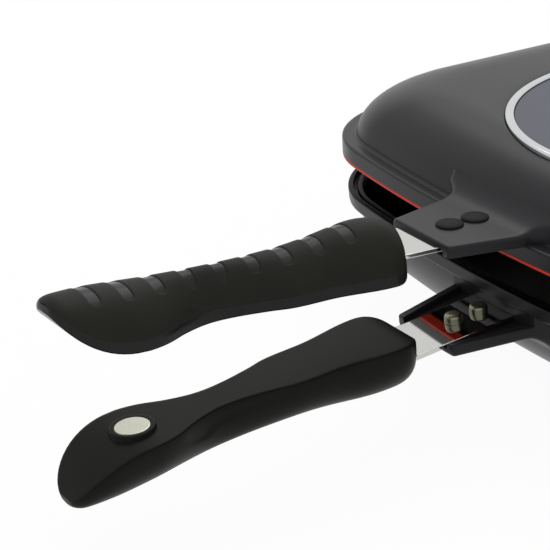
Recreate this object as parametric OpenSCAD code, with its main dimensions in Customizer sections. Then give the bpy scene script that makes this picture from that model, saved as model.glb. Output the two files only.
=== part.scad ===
// Double sided flip pan: two cast aluminium halves hinged along the back edge,
// each with a riveted steel tang and a moulded handle at the front.
// +X runs along the hinge, +Y from the handles to the hinge, +Z is up.
// The origin is the centre of the flat base of the lower half.

/* [Pan] */
// Width of the halves along the hinge
pan_w = 320; // [290:5:360]
// Depth of the halves from front to back, at the middle
pan_d = 240; // [225:5:270]
// Radius of the four corners, seen from above
corner_r = 54; // [50:1:70]
// Radius of the bowed front and back edges, seen from above
bow_r = 900; // [700:50:1500]
// Height of the upper half, from the parting plane to the edge of its flat top
upper_h = 35; // [32:0.5:42]
// Extra height in the middle of the upper half
crown_h = 1; // [0.5:0.25:2]
// Depth of the lower half, from the parting plane to the edge of its flat bottom
lower_h = 48; // [40:0.5:52]
// Thickness of the cast walls
wall = 3; // [2.5:0.25:4]
// Width of the ledge between the rim band and the foot of the upper wall
ledge_w = 7; // [6:0.5:7.5]
// Reach of the upper half's shoulder, from its foot to the flat top
upper_reach = 36; // [32:1:40]
// Fullness of the upper shoulder: 2 is an ellipse, more is squarer
upper_full = 1.9; // [1.7:0.05:2.4]
// Distance of the lower wall in from the edge of the upper rim
lower_foot = 6.5; // [6:0.1:7]
// Reach of the lower half's shoulder, from its foot to the flat bottom
lower_reach = 40; // [34:1:42]
// Fullness of the lower shoulder
lower_full = 2; // [1.7:0.05:2.4]
// How much of a step inwards the corners lose in radius: 1 keeps the bands parallel
corner_share = 0.3; // [0.2:0.05:0.8]
// Height of the rim band of the upper half above the parting plane
upper_band_h = 10.4; // [9.8:0.2:12]
// Height of the rim band of the lower half, with its lip
lower_band_h = 6.5; // [5.5:0.5:8]
// Radius of the flat pad under the lower half
base_r = 84; // [70:1:88]
// Height of the flat pad under the lower half
base_pad_h = 2.5; // [1:0.5:4]

/* [Rim and seal] */
// How far the lower lip rises above the parting plane
lip_rise = 2.4; // [1.6:0.1:2.6]
// Distance of the lower lip in from the edge of the upper rim
lip_inset = 1.7; // [1.6:0.1:2]
// Width of the lower lip
lip_w = 2.5; // [2:0.1:3]
// Width of the upper rim face, from the outside to the cavity
rim_w = 9; // [8:0.5:9.5]
// Height of the skirt of the seal that shows under the upper rim
skirt_h = 1.4; // [1:0.1:1.8]
// Thickness of the skirt of the seal
skirt_t = 1.4; // [1:0.1:1.4]
// Depth of the groove that holds the seal
seal_groove_h = 2; // [1.5:0.1:3]
// Width of the seal, from the outside
seal_w = 5.5; // [5:0.1:6]
// Gap between the seal and the lip when the pan is shut
seal_gap = 0.1; // [0.05:0.05:0.4]

/* [Lid ring] */
// Outer radius of the ring on the upper half
ring_r = 88; // [60:1:92]
// Width of the ring
ring_w = 4; // [3:0.5:7]
// Height of the ring above its seat
ring_h = 3.3; // [3:0.1:5]
// How far the seat of the ring lies below the edge of the flat top
ring_sink = 2; // [1:0.25:3]
// Thickness of the disc inside the ring
disc_t = 2.4; // [1.5:0.1:2.8]
// Gap all round between the disc and the ring
disc_gap = 0.15; // [0.1:0.05:0.3]
// Width of the seat that shows outside the ring where the top falls away
seat_w = 1.5; // [1:0.5:3]

/* [Tongue] */
// Distance from the parting plane to the open edge of a tongue
tongue_z = 9.2; // [8.8:0.1:9.6]
// How deep the tang lies below the open edge of the tongue
tang_sink = 0.9; // [0.5:0.1:1.5]
// Thickness of the plate of a tongue
plate_t = 2.6; // [2:0.1:3.4]
// Thickness of the side flanges of a tongue
flange_t = 4; // [3:0.5:5]
// Half the width of a tongue at its end
tongue_end_w = 20.7; // [20:0.1:23]
// Half the width of a tongue where it leaves the rim
tongue_root_w = 28.4; // [26:0.2:32]
// How far a tongue reaches out of the rim
tongue_l = 32.2; // [30:0.2:36]

/* [Tang and rivets] */
// Width of the steel tang outside the handle
tang_w = 29; // [26:0.5:30]
// Width of the steel tang inside the handle
tang_tail_w = 20; // [16:0.5:22]
// Thickness of the steel tang
tang_t = 2; // [1.5:0.25:2.5]
// Length of the steel tang
tang_l = 112; // [95:1:120]
// How far the tang reaches in past the rim
tang_in = 3.6; // [2:0.2:4.4]
// Distance between the two rivets of a tang
rivet_pitch = 13; // [12.8:0.1:14]
// Distance of the outer rivet from the rim
rivet_y = 17.3; // [17:0.1:19]
// Radius of a rivet's shank
rivet_r = 2.5; // [2:0.1:3]
// Radius of the rounded rivet head inside the tongue
rivet_head_r = 4.2; // [3.6:0.1:4.4]
// Height of the rounded rivet head
rivet_head_h = 5.5; // [3.5:0.5:6.5]
// Radius of the low cap outside the tongue
cap_r = 6.1; // [5:0.1:6.3]
// Height of the low cap
cap_h = 1.6; // [1:0.1:2.5]

/* [Handle] */
// Length of a handle
handle_l = 162.5; // [157:0.5:175]
// Distance from the rim to the near end of a handle
handle_start = 45.5; // [42:0.5:50]
// Width of a handle at its bulged near end
handle_w = 39; // [36:1:42]
// Width of a handle at its bulb, near the tip
bulb_w = 40; // [36:1:43]
// Width of a handle between its near end and its waist
grip_w = 31; // [28:1:34]
// Width of a handle at its waist
waist_w = 20; // [18:1:26]
// Depth of a handle at both ends
handle_d = 24.5; // [23:0.5:27]
// Depth of a handle at its waist
waist_d = 20.4; // [19:0.2:23]
// Distance from the parting plane to a handle's inner face at its near end
handle_z = 2.4; // [2:0.1:3.5]
// Angle by which a handle leans away from the parting plane
handle_lean = 1.05; // [0.8:0.05:2]
// Length of the rounding in depth at the lower handle's near end
lower_near_round = 10; // [6:1:12]
// Length of the rounding in depth at the upper handle's near end
upper_near_round = 22; // [16:1:26]
// Length of the rounding of the outside at the tip of a handle
tip_round = 6; // [4:0.5:10]
// How far the inner face rises towards the outside at the tip
tip_lift = 18.5; // [10:0.5:19]
// Length over which the inner face rises to the tip
tip_slope_l = 38.5; // [30:0.5:42]
// How much the tip leans back on the outside
tip_rake = 4; // [0:0.5:6]
// Depth of the inner shell of the lower handle, down to the mould line
lower_shell_t = 1.8; // [1.6:0.1:4]
// Depth of the inner shell of the upper handle, down to the edge of the sleeve
upper_shell_t = 5.2; // [4.5:0.1:7]
// Thickness of the soft sleeve on the upper handle
sleeve_t = 1.6; // [1:0.1:2.5]
// Number of slots across the sleeve
slot_n = 9; // [5:1:9]
// Distance between slots
slot_pitch = 14.6; // [13:0.1:15]
// Distance from the near end of the handle to the first slot
slot_start = 23.6; // [18:0.2:25]
// Width of a slot along the handle
slot_w = 5.6; // [4:0.1:7]
// Half the length of a slot, apart from the share of the handle's width
slot_reach = 4; // [2:0.5:5]
// Share of the handle's half width that is added to half the length of a slot
slot_share = 0.33; // [0.2:0.01:0.4]

/* [Magnets] */
// Radius of a magnet
magnet_r = 7.5; // [5:0.1:8]
// Thickness of a magnet
magnet_t = 2.5; // [2:0.1:3]
// Distance from the near end of a handle to its magnet
magnet_u = 127.5; // [122:0.5:132]
// Width of the raised collar round a magnet
collar_w = 2; // [1.5:0.1:3]
// Height of the collar on the lower handle
lower_collar_h = 1.5; // [0.5:0.1:2.5]
// Height of the collar on the upper handle
upper_collar_h = 3.8; // [2:0.1:4]

/* [Hinge] */
// Distance of the hinge axis behind the rim
hinge_back = 8; // [8:0.5:12]
// Radius of the hinge pin
pin_r = 3; // [2:0.1:3.5]
// Outer radius of the hinge knuckles
knuckle_r = 6.5; // [5.5:0.1:7]
// Width of the middle knuckle, on the upper half
mid_knuckle_w = 30; // [20:1:40]
// Width of each outer knuckle, on the lower half
end_knuckle_w = 14; // [10:1:20]
// Thickness of the washers between the knuckles
washer_t = 0.8; // [0.5:0.1:1.5]
// Gap on each side of a washer
washer_gap = 0.05; // [0.03:0.01:0.1]
// Radial clearance of the pin in the knuckles
pin_gap = 0.05; // [0.03:0.01:0.1]
// Radius of the pin's head and of its clip
pin_head_r = 5; // [4.5:0.1:6]
// Thickness of the pin's head and of its clip
clip_t = 1.2; // [0.8:0.1:2]
// Angle by which the pan stands open
open_angle = 4.3; // [0:0.05:90]

/* [Hidden] */

// Overlap by which one part of a casting runs into the next
bite = 0.5;
// Clearance of a piece that sits in a pocket of its own body
snug = 0.02;
// Rounding of the outer edge of the rim band
band_edge = 0.7;

parting_z = lower_h + base_pad_h;
hinge_y = pan_d / 2 + hinge_back;
seat_z = lip_rise + seal_gap;
skirt_z = seat_z + 0.4 - skirt_h;
tang_z = tongue_z + tang_sink;
plate_z = tang_z + tang_t;
tongue_top = plate_z + plate_t;
handle_y = pan_d / 2 + handle_start;
lid_seat_z = upper_h - ring_sink;
lower_band_z = lower_band_h - lip_rise;

// ---------- Placing of the two halves ----------
// Both halves are drawn alike, with z = 0 on the parting plane and +z away from it.

module as_lower() {
    translate([0, 0, parting_z]) mirror([0, 0, 1]) children();
}

module as_upper() {
    translate([0, hinge_y, parting_z]) rotate([-open_angle, 0, 0])
        translate([0, -hinge_y, 0]) children();
}

// ---------- Outline of the pan, seen from above ----------

corner_steps = 9;
bow_steps = 5;

// One quarter of the outline, drawn in by `inset`, from the middle of a bowed edge
// to a straight side. Beyond the ledge the corners stay rounder than the inset alone
// would leave them.
function quarter(inset) =
    let (deep = max(inset - ledge_w, 0),
        r = corner_r - inset + deep * (1 - corner_share),
        bow = bow_r - inset, bow_c = pan_d / 2 - bow_r,
        cx = pan_w / 2 - inset - r,
        cy = bow_c + sqrt(pow(bow - r, 2) - cx * cx),
        turn = atan2(cx, cy - bow_c))
    concat(
        [for (i = [0:bow_steps]) let (a = turn * i / bow_steps)
            [bow * sin(a), bow_c + bow * cos(a)]],
        [for (i = [1:corner_steps]) let (a = turn + (90 - turn) * i / corner_steps)
            [cx + r * sin(a), cy + r * cos(a)]]);

// The whole outline, anticlockwise from the middle of the back edge
function outline(inset) =
    let (q = quarter(inset), n = len(q))
    concat(
        [for (i = [0:n - 1]) [-q[i][0], q[i][1]]],
        [for (i = [n - 1:-1:0]) [-q[i][0], -q[i][1]]],
        [for (i = [1:n - 1]) [q[i][0], -q[i][1]]],
        [for (i = [n - 1:-1:1]) q[i]]);

ring_points = len(outline(0));

// A section point is [inset, height] or [inset, height, share]; a share below 1 draws
// its ring in towards the middle of the pan.
function ring_at(p) = let (share = len(p) > 2 ? p[2] : 1)
    [for (q = outline(p[0])) [q[0] * share, q[1] * share, p[1]]];

// Faces between ring k and ring m of n points each
function band_faces(k, m, n) = [for (i = [0:n - 1])
    let (j = (i + 1) % n, a = k * n, b = m * n)
    each [[a + i, a + j, b + j], [a + i, b + j, b + i]]];

// A shell whose section runs from the middle of the outside, round the rim, to the
// middle of the inside
module pan_shell(section) {
    n = ring_points;
    rings = len(section);
    last = (rings - 1) * n;
    points = concat([for (p = section) each ring_at(p)],
        [[0, 0, section[0][1]], [0, 0, section[rings - 1][1]]]);
    polyhedron(points, concat(
        [for (k = [0:rings - 2]) each band_faces(k, k + 1, n)],
        [for (i = [0:n - 1]) [rings * n, (i + 1) % n, i]],
        [for (i = [0:n - 1]) [rings * n + 1, last + i, last + (i + 1) % n]]),
        convexity = 8);
}

// A band that runs round the rim with a closed section
module rim_band(section) {
    n = ring_points;
    rings = len(section);
    polyhedron([for (p = section) each ring_at(p)],
        [for (k = [0:rings - 1]) each band_faces(k, (k + 1) % rings, n)],
        convexity = 8);
}

// ---------- Section of the halves ----------

dome_steps = 7;

// Rounded shoulder from its foot, at the inset `foot`, up to the flat at the inset `end`
function shoulder(foot, end, low, high, full) = [for (i = [0:dome_steps])
    let (a = 90 * i / dome_steps, p = 2 / full)
    [foot + (end - foot) * (1 - pow(cos(a), p)), low + (high - low) * pow(sin(a), p)]];

function reversed(list) = [for (i = [len(list) - 1:-1:0]) list[i]];

inner_foot = ledge_w + wall;
upper_end = ledge_w + upper_reach;
lower_end = lower_foot + lower_reach;
upper_dome = shoulder(ledge_w, upper_end, upper_band_h, upper_h, upper_full);
lower_dome = shoulder(lower_foot, lower_end, lower_band_z, lower_h, lower_full);
upper_inside = shoulder(inner_foot, upper_end, upper_band_h - 1, lid_seat_z - wall, upper_full);
lower_inside = shoulder(inner_foot, lower_end, upper_band_h - 1, lower_h - wall, lower_full);

// Rings of the slightly domed top, from the middle outwards
crown = [for (s = [0.3, 0.6, 0.8, 0.92])
    [upper_end, upper_h + crown_h * (1 - pow(s, 4)), s]];

upper_section = concat(crown, reversed(upper_dome),
    [[band_edge, upper_band_h], [0, upper_band_h - band_edge], [0, skirt_z + skirt_h],
        [skirt_t, skirt_z + skirt_h], [skirt_t, seat_z + seal_groove_h],
        [seal_w, seat_z + seal_groove_h], [seal_w, seat_z], [rim_w, seat_z]],
    upper_inside);

// Heights of the rim of the lower half, away from the parting plane
ridge_w = 1.8;
ridge_z = -1.4;
groove_z = 0.6;
lip_in = lip_inset + lip_w;
lower_section = concat(reversed(lower_dome),
    [[lip_inset + band_edge, lower_band_z],
        [lip_inset, lower_band_z - band_edge], [lip_inset, -lip_rise + 0.5],
        [lip_inset + 0.5, -lip_rise], [lip_in, -lip_rise], [lip_in, groove_z],
        [rim_w - 1 - ridge_w, groove_z], [rim_w - 1 - ridge_w, ridge_z],
        [rim_w - 1, ridge_z], [rim_w, 1]],
    lower_inside);

// The L-shaped seal: a skirt outside and a flat plug in the groove of the upper rim
seal_section = [[0, skirt_z], [skirt_t, skirt_z], [skirt_t, seat_z], [seal_w, seat_z],
    [seal_w, seat_z + seal_groove_h], [skirt_t, seat_z + seal_groove_h],
    [skirt_t, skirt_z + skirt_h], [0, skirt_z + skirt_h]];

// ---------- Tongue, rivet holes and knuckles ----------

// Outline of a tongue seen from above, with its sides drawn in by `inner`
module tongue_plan(inner) {
    root = ledge_w + wall / 2;
    half = [[tongue_end_w - inner, -tongue_l], [tongue_root_w - inner, 0],
        [tongue_root_w + 1.2 - inner, 4], [tongue_root_w + 5 - inner, 6.5],
        [tongue_root_w + 12 - inner, root], [tongue_root_w + 12 - inner, root + 1]];
    translate([0, -pan_d / 2])
        polygon(concat(half, [for (p = reversed(half)) [-p[0], p[1]]]));
}

// Room for the tang in a casting and in a handle
module tang_room(gap) {
    translate([0, 0, tang_z - gap]) linear_extrude(tang_t + gap) tang_plan(gap);
}

// Strip across the pan between two distances inwards from the middle of the front rim
module strip(from, to) {
    translate([-pan_w / 2, from - pan_d / 2]) square([pan_w, to - from]);
}

// A tongue with an open channel for the tang; the channel ends at `inner` from the rim
module tongue(inner) {
    difference() {
        translate([0, 0, tongue_z]) linear_extrude(tongue_top - tongue_z) tongue_plan(0);
        translate([0, 0, tongue_z - 1]) linear_extrude(plate_z - tongue_z + 1)
            intersection() {
                translate([0, -0.1]) tongue_plan(flange_t);
                strip(-tongue_l - 1, inner);
            }
        // The end of the channel is open
        translate([-tongue_end_w + flange_t, -pan_d / 2 - tongue_l - 1, tongue_z - 1])
            cube([2 * (tongue_end_w - flange_t), 2, plate_z - tongue_z + 1]);
    }
}

// Web under the root of the lower tongue, up to the rim band
module root_web() {
    translate([0, 0, lower_band_z - bite])
        linear_extrude(tongue_z - lower_band_z + 2 * bite) intersection() {
            tongue_plan(0);
            strip(tang_in + snug, ledge_w + wall / 2);
        }
}

module at_rivets() {
    for (y = [-rivet_y, rivet_pitch - rivet_y])
        translate([0, y - pan_d / 2, 0]) children();
}

module rivet_holes(low, high) {
    at_rivets() translate([0, 0, low]) cylinder(h = high - low, r = rivet_r + snug, $fn = 32);
}

end_knuckle_x = mid_knuckle_w / 2 + washer_t + 2 * washer_gap;

// One knuckle with the neck that carries it; `root` is where the neck meets the rim
module knuckle(from, width, root, low, high) {
    difference() {
        translate([from, 0, 0]) rotate([90, 0, 90]) linear_extrude(width) union() {
            translate([hinge_y, 0]) circle(knuckle_r, $fn = 48);
            polygon([[root, low], [hinge_y - pin_r, 0], [hinge_y, 0],
                [hinge_y, knuckle_r], [root, high]]);
        }
        translate([from - 1, hinge_y, 0]) rotate([0, 90, 0])
            cylinder(h = width + 2, r = pin_r + pin_gap, $fn = 48);
    }
}

// ---------- Castings ----------

module lower_pan() {
    color([0.21, 0.21, 0.23]) as_lower() {
        difference() {
            union() {
                pan_shell(lower_section);
                translate([0, 0, lower_h - wall + bite])
                    cylinder(h = base_pad_h + wall - bite, r = base_r, $fn = 120);
                tongue(tang_in + snug);
                root_web();
            }
            tang_room(snug);
            rivet_holes(tang_z, tongue_top + 1);
        }
        for (side = [0, 1]) mirror([side, 0, 0])
            knuckle(end_knuckle_x, end_knuckle_w, pan_d / 2 - lip_inset - bite,
                0, lower_band_z - band_edge);
    }
}

module upper_pan() {
    color([0.21, 0.21, 0.23]) as_upper() {
        difference() {
            union() {
                pan_shell(upper_section);
                translate([0, 0, lid_seat_z - wall / 2])
                    cylinder(h = wall / 2, r = ring_r + seat_w, $fn = 120);
                tongue(max(0, rivet_pitch - rivet_y + rivet_head_r + 0.3));
            }
            // Round recess for the ring and the disc
            translate([0, 0, lid_seat_z])
                cylinder(h = ring_sink + crown_h + 5, r = ring_r + disc_gap, $fn = 120);
            tang_room(snug);
            rivet_holes(tang_z, tongue_top + 1);
        }
        knuckle(-mid_knuckle_w / 2, mid_knuckle_w, pan_d / 2 - bite,
            skirt_z + skirt_h + 0.3, upper_band_h - band_edge);
    }
}

module gasket() {
    color([0.78, 0.10, 0.08]) as_upper() rim_band(seal_section);
}

// ---------- Ring and disc on the upper half ----------

module lid_ring() {
    color([0.82, 0.83, 0.85]) as_upper() translate([0, 0, lid_seat_z])
        rotate_extrude($fn = 120) translate([ring_r - ring_w, 0])
            polygon([[0, 0], [ring_w, 0], [ring_w, ring_h - 1], [ring_w - 0.4, ring_h - 0.3],
                [ring_w - 1.2, ring_h], [0.8, ring_h], [0, ring_h - 0.6]]);
}

module lid_disc() {
    color([0.25, 0.27, 0.36]) as_upper() translate([0, 0, lid_seat_z])
        cylinder(h = disc_t, r = ring_r - ring_w - disc_gap, $fn = 120);
}

// ---------- Tangs, rivets and caps ----------

// Outline of a tang seen from above, grown by `gap`
module tang_plan(gap) {
    inner = -pan_d / 2 + tang_in + gap;
    outer = -pan_d / 2 + tang_in - tang_l - gap;
    step = -handle_y - 4;
    wide = tang_w / 2 + gap;
    slim = tang_tail_w / 2 + gap;
    polygon([[wide, inner], [-wide, inner], [-wide, step], [-slim, step - 5],
        [-slim, outer], [slim, outer], [slim, step - 5], [wide, step]]);
}

module tang() {
    difference() {
        translate([0, 0, tang_z]) linear_extrude(tang_t) tang_plan(0);
        rivet_holes(tang_z - 1, plate_z + 1);
    }
}

module lower_tang() {
    color([0.80, 0.80, 0.82]) as_lower() tang();
}

module upper_tang() {
    color([0.80, 0.80, 0.82]) as_upper() tang();
}

tail_h = 0.8;

// A rivet with its rounded head inside the tongue and its tail under the cap
module rivets() {
    at_rivets() {
        translate([0, 0, tang_z]) mirror([0, 0, 1]) rotate_extrude($fn = 48)
            polygon([[0, 0], [rivet_head_r, 0], [rivet_head_r, rivet_head_h - 1.4],
                [rivet_head_r - 0.4, rivet_head_h - 0.6], [rivet_head_r - 1.4, rivet_head_h],
                [0, rivet_head_h]]);
        translate([0, 0, tang_z - 0.1])
            cylinder(h = tongue_top + tail_h - tang_z + 0.1, r = rivet_r, $fn = 32);
    }
}

module lower_rivets() {
    color([0.75, 0.75, 0.77]) as_lower() rivets();
}

module upper_rivets() {
    color([0.75, 0.75, 0.77]) as_upper() rivets();
}

// Low domed cap over the tail of a rivet
module rivet_caps() {
    at_rivets() translate([0, 0, tongue_top]) difference() {
        rotate_extrude($fn = 48)
            polygon([[0, 0], [cap_r, 0], [cap_r, cap_h * 0.4], [cap_r - 0.5, cap_h * 0.68],
                [cap_r - 2, cap_h * 0.9], [cap_r - 4, cap_h], [0, cap_h]]);
        translate([0, 0, -1]) cylinder(h = tail_h + snug + 1, r = rivet_r + snug, $fn = 32);
    }
}

module lower_rivet_caps() {
    color([0.08, 0.08, 0.09]) as_lower() rivet_caps();
}

module upper_rivet_caps() {
    color([0.08, 0.08, 0.09]) as_upper() rivet_caps();
}

// ---------- Handles ----------
// In a handle's own frame y runs from its near end to the pan, so a place u along the
// handle lies at y = -u, and z is the depth below the inner face.

module on_handle() {
    translate([0, -handle_y, handle_z]) rotate([-handle_lean, 0, 0]) children();
}

// Smooth change from one key to the next; each key is [place, value]
function ease(keys, u, i = 0) =
    u <= keys[0][0] ? keys[0][1]
    : i >= len(keys) - 1 ? keys[len(keys) - 1][1]
    : u > keys[i + 1][0] ? ease(keys, u, i + 1)
    : let (t = (u - keys[i][0]) / (keys[i + 1][0] - keys[i][0]))
        keys[i][1] + (keys[i + 1][1] - keys[i][1]) * (1 - cos(180 * t)) / 2;

// Half width and depth of the handle at u
near_end = 11.5;
bulb_u = handle_l - 34;
waist_u = bulb_u - 39;
width_keys = [[near_end, handle_w / 2], [42.5, grip_w / 2], [waist_u - 40, grip_w / 2 - 0.1],
    [waist_u, waist_w / 2], [bulb_u, bulb_w / 2]];
depth_keys = [[near_end + 2, handle_d], [59.5, waist_d], [handle_l - 50, waist_d + 1],
    [handle_l - 15, handle_d - 1.2]];

// Rise of the inner face at u, and the height of the mould line at u, for a shell `t` deep
function lift_at(u) = tip_lift * pow(max((u - handle_l + tip_slope_l) / tip_slope_l, 0), 2.5);
function mould_at(u, t) = let (lift = lift_at(u)) lift + t * (1 - 0.2 * lift / tip_lift);

// Shares of the full section that are left at u: in width, in depth on the outside
// and in depth on the side of the inner face
tip_z = tip_lift + 1.5;
function rounding(t, p) = pow(max(1 - pow(max(t, 0), p), 0), 1 / p);
function end_share(u, length, least, p) =
    u < length ? least + (1 - least) * rounding((length - u) / length, p) : 1;
function width_share(u) = u > bulb_u
    ? rounding((u - bulb_u) / (handle_l - bulb_u), 2.4) : end_share(u, near_end, 0.3, 2.7);
function outer_share(u, near) =
    min(end_share(u, near, 0.35, 2.2), rounding((u - handle_l + tip_round) / tip_round, 2.2));
function inner_share(u) = end_share(u, near_end, 0.5, 2.7);

// Section of the handle at u, drawn in by `skin`; anticlockwise seen from the tip
arc_steps = 14;
edge_r = 1.2;
function handle_ring(u, skin, near) =
    let (v = skin + u * (handle_l - 2 * skin) / handle_l,
        w = (ease(width_keys, u) - skin) * width_share(u), d = ease(depth_keys, u) - skin,
        lift = lift_at(u), mid = handle_d / 2 + (tip_z - handle_d / 2) * lift / tip_lift,
        out = outer_share(u, near), inn = inner_share(u), edge = min(edge_r, (d - lift) / 3),
        rake = tip_rake / handle_d * pow(max((u - bulb_u) / (handle_l - bulb_u), 0), 2),
        section = concat(
            [for (i = [0:arc_steps]) let (a = 180 * i / arc_steps)
                [w * cos(a), lift + edge + (d - lift - edge) * sin(a)]],
            [for (a = [45, 90])
                [-w + w / 10 * (1 - cos(a)), lift + edge - edge * sin(a)]],
            [for (a = [90, 45])
                [w - w / 10 * (1 - cos(a)), lift + edge - edge * sin(a)]]))
    [for (p = section) let (z = (p[1] - mid) * (p[1] > mid ? out : inn))
        [p[0], -v + rake * (mid + z - handle_d / 2), mid + z]];

stations = concat([0, 1, 3, 6, 9], [for (k = [0:4]) near_end + 7.75 * k],
    [for (k = [0:9]) 50 + (bulb_u - 50) * k / 9],
    [for (t = [0.25, 0.45, 0.6, 0.72, 0.82, 0.9, 0.96, 0.99])
        bulb_u + t * (handle_l - bulb_u)]);

// The whole handle as one solid, with its skin taken off to `skin` deep and the outside
// of its near end rounded over the length `near`
module handle_body(skin, near) {
    rings = len(stations);
    n = arc_steps + 5;
    tip = (rings - 1) * n;
    points = concat([for (u = stations) each handle_ring(u, skin, near)],
        [[0, -handle_l + skin + tip_rake / handle_d * (tip_z - handle_d / 2), tip_z]]);
    polyhedron(points, concat(
        [[for (i = [0:n - 1]) i]],
        [for (k = [0:rings - 2]) for (i = [0:n - 1])
            let (j = (i + 1) % n, a = k * n + i, b = k * n + j, c = a + n, d = b + n)
            each [[a, c, b], [b, c, d]]],
        [for (i = [0:n - 1]) [tip + i, rings * n, tip + (i + 1) % n]]),
        convexity = 4);
}

// Space on one side of the mould line, which follows the inner face up to the tip
module beyond_mould_line(deeper, t) {
    far = deeper ? 60 : -60;
    line = [for (u = [handle_l - tip_slope_l:3.5:handle_l]) [-u, mould_at(u, t)]];
    translate([-handle_w, 0, 0]) rotate([90, 0, 90]) linear_extrude(2 * handle_w)
        polygon(concat([[10, far], [10, t]], line,
            [[-handle_l - 10, mould_at(handle_l, t)], [-handle_l - 10, far]]));
}

module handle_shell(collar_h, near, t) {
    difference() {
        on_handle() difference() {
            union() {
                intersection() {
                    handle_body(0, near);
                    beyond_mould_line(false, t);
                }
                // Raised collar for the magnet
                translate([0, -magnet_u, -collar_h]) cylinder(h = collar_h + min(3, t),
                    r1 = magnet_r + collar_w, r2 = magnet_r + collar_w + 0.6, $fn = 64);
            }
            translate([0, -magnet_u, -collar_h - 1])
                cylinder(h = magnet_t + 1 + snug, r = magnet_r + snug, $fn = 64);
        }
        tang_room(snug);
    }
}

module lower_handle_shell() {
    color([0.06, 0.06, 0.07]) as_lower() handle_shell(lower_collar_h, lower_near_round, lower_shell_t);
}

module upper_handle_shell() {
    color([0.06, 0.06, 0.07]) as_upper() handle_shell(upper_collar_h, upper_near_round, upper_shell_t);
}

// The part of a handle outside the mould line
module handle_back(skin, near, t) {
    difference() {
        on_handle() intersection() {
            handle_body(skin, near);
            beyond_mould_line(true, t);
        }
        tang_room(snug);
    }
}

module lower_handle_grip() {
    color([0.07, 0.07, 0.08]) as_lower() handle_back(0, lower_near_round, lower_shell_t);
}

module upper_handle_core() {
    color([0.16, 0.16, 0.18]) as_upper() 
        handle_back(sleeve_t, upper_near_round, upper_shell_t);
}

// Slots across the sleeve, with round ends
module sleeve_slots() {
    for (k = [0:slot_n - 1]) {
        u = slot_start + k * slot_pitch;
        reach = slot_reach + ease(width_keys, u + slot_w / 2) * slot_share - slot_w / 2;
        translate([0, -u - slot_w / 2, handle_d / 2]) linear_extrude(handle_d) union() {
            square([2 * reach, slot_w], center = true);
            for (x = [-reach, reach]) translate([x, 0]) circle(slot_w / 2, $fn = 24);
        }
    }
}

module upper_handle_sleeve() {
    color([0.11, 0.11, 0.12]) as_upper() difference() {
        on_handle() difference() {
            intersection() {
                handle_body(0, upper_near_round);
                beyond_mould_line(true, upper_shell_t);
            }
            handle_body(sleeve_t, upper_near_round);
            sleeve_slots();
        }
        tang_room(snug);
    }
}

// ---------- Magnets ----------

module magnet(collar_h) {
    on_handle() translate([0, -magnet_u, -collar_h])
        cylinder(h = magnet_t, r = magnet_r, $fn = 64);
}

module lower_magnet() {
    color([0.80, 0.80, 0.80]) as_lower() magnet(lower_collar_h);
}

module upper_magnet() {
    color([0.80, 0.80, 0.80]) as_upper() magnet(upper_collar_h);
}

// ---------- Hinge ----------

pin_reach = end_knuckle_x + end_knuckle_w;

module at_hinge() {
    translate([0, hinge_y, parting_z]) rotate([0, 90, 0]) children();
}

// Pin with a flat head at one end
module hinge_pin() {
    color([0.70, 0.70, 0.72]) at_hinge() {
        translate([0, 0, -pin_reach - 0.1])
            cylinder(h = 2 * pin_reach + clip_t + 1.1, r = pin_r, $fn = 48);
        translate([0, 0, -pin_reach - clip_t])
            cylinder(h = clip_t, r = pin_head_r, $fn = 48);
    }
}

module washer(thickness, r_out) {
    difference() {
        cylinder(h = thickness, r = r_out, $fn = 48);
        translate([0, 0, -1]) cylinder(h = thickness + 2, r = pin_r + snug, $fn = 48);
    }
}

module hinge_clip() {
    color([0.55, 0.55, 0.57]) at_hinge() translate([0, 0, pin_reach])
        washer(clip_t, pin_head_r);
}

module hinge_washers() {
    color([0.65, 0.65, 0.67]) at_hinge() for (side = [0, 1]) mirror([0, 0, side])
        translate([0, 0, mid_knuckle_w / 2 + washer_gap]) washer(washer_t, knuckle_r - 0.5);
}

lower_pan();
upper_pan();
gasket();
lid_ring();
lid_disc();
lower_tang();
upper_tang();
lower_rivets();
upper_rivets();
lower_rivet_caps();
upper_rivet_caps();
lower_handle_shell();
lower_handle_grip();
upper_handle_shell();
upper_handle_core();
upper_handle_sleeve();
lower_magnet();
upper_magnet();
hinge_pin();
hinge_clip();
hinge_washers();
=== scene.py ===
# %% [markdown]
# # Dressing a double sided flip pan
# The pan is two cast halves, hinged along the back, each with a steel tang and a moulded
# handle. The solids are already packed, at their real size and in their real places, so
# this lesson loads them first and then lays a finer piece over each one.

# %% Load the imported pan
import math
from collections import namedtuple
import bpy
import bmesh
from mathutils import Matrix, Vector


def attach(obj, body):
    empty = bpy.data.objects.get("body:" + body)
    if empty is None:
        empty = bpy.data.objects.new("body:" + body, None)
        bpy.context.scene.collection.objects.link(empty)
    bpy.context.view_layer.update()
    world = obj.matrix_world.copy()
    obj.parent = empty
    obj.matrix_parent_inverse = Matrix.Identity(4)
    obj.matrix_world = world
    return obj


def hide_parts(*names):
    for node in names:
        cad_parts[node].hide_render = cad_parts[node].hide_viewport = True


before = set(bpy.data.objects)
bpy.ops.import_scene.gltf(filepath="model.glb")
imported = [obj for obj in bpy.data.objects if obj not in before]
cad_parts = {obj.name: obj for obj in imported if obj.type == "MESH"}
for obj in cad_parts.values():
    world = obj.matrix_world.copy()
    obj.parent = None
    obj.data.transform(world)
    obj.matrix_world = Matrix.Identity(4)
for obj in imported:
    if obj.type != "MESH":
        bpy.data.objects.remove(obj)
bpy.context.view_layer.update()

# %% [markdown]
# ## The camera
# The photograph looks down on the handles from the front right through a long lens, so
# the handles hardly taper. Aiming a camera by eye would leave it a little off, so it is
# given in full: its right, up and backward directions, its place in metres, and how many
# pixels of the photograph its focal length spans.

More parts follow.
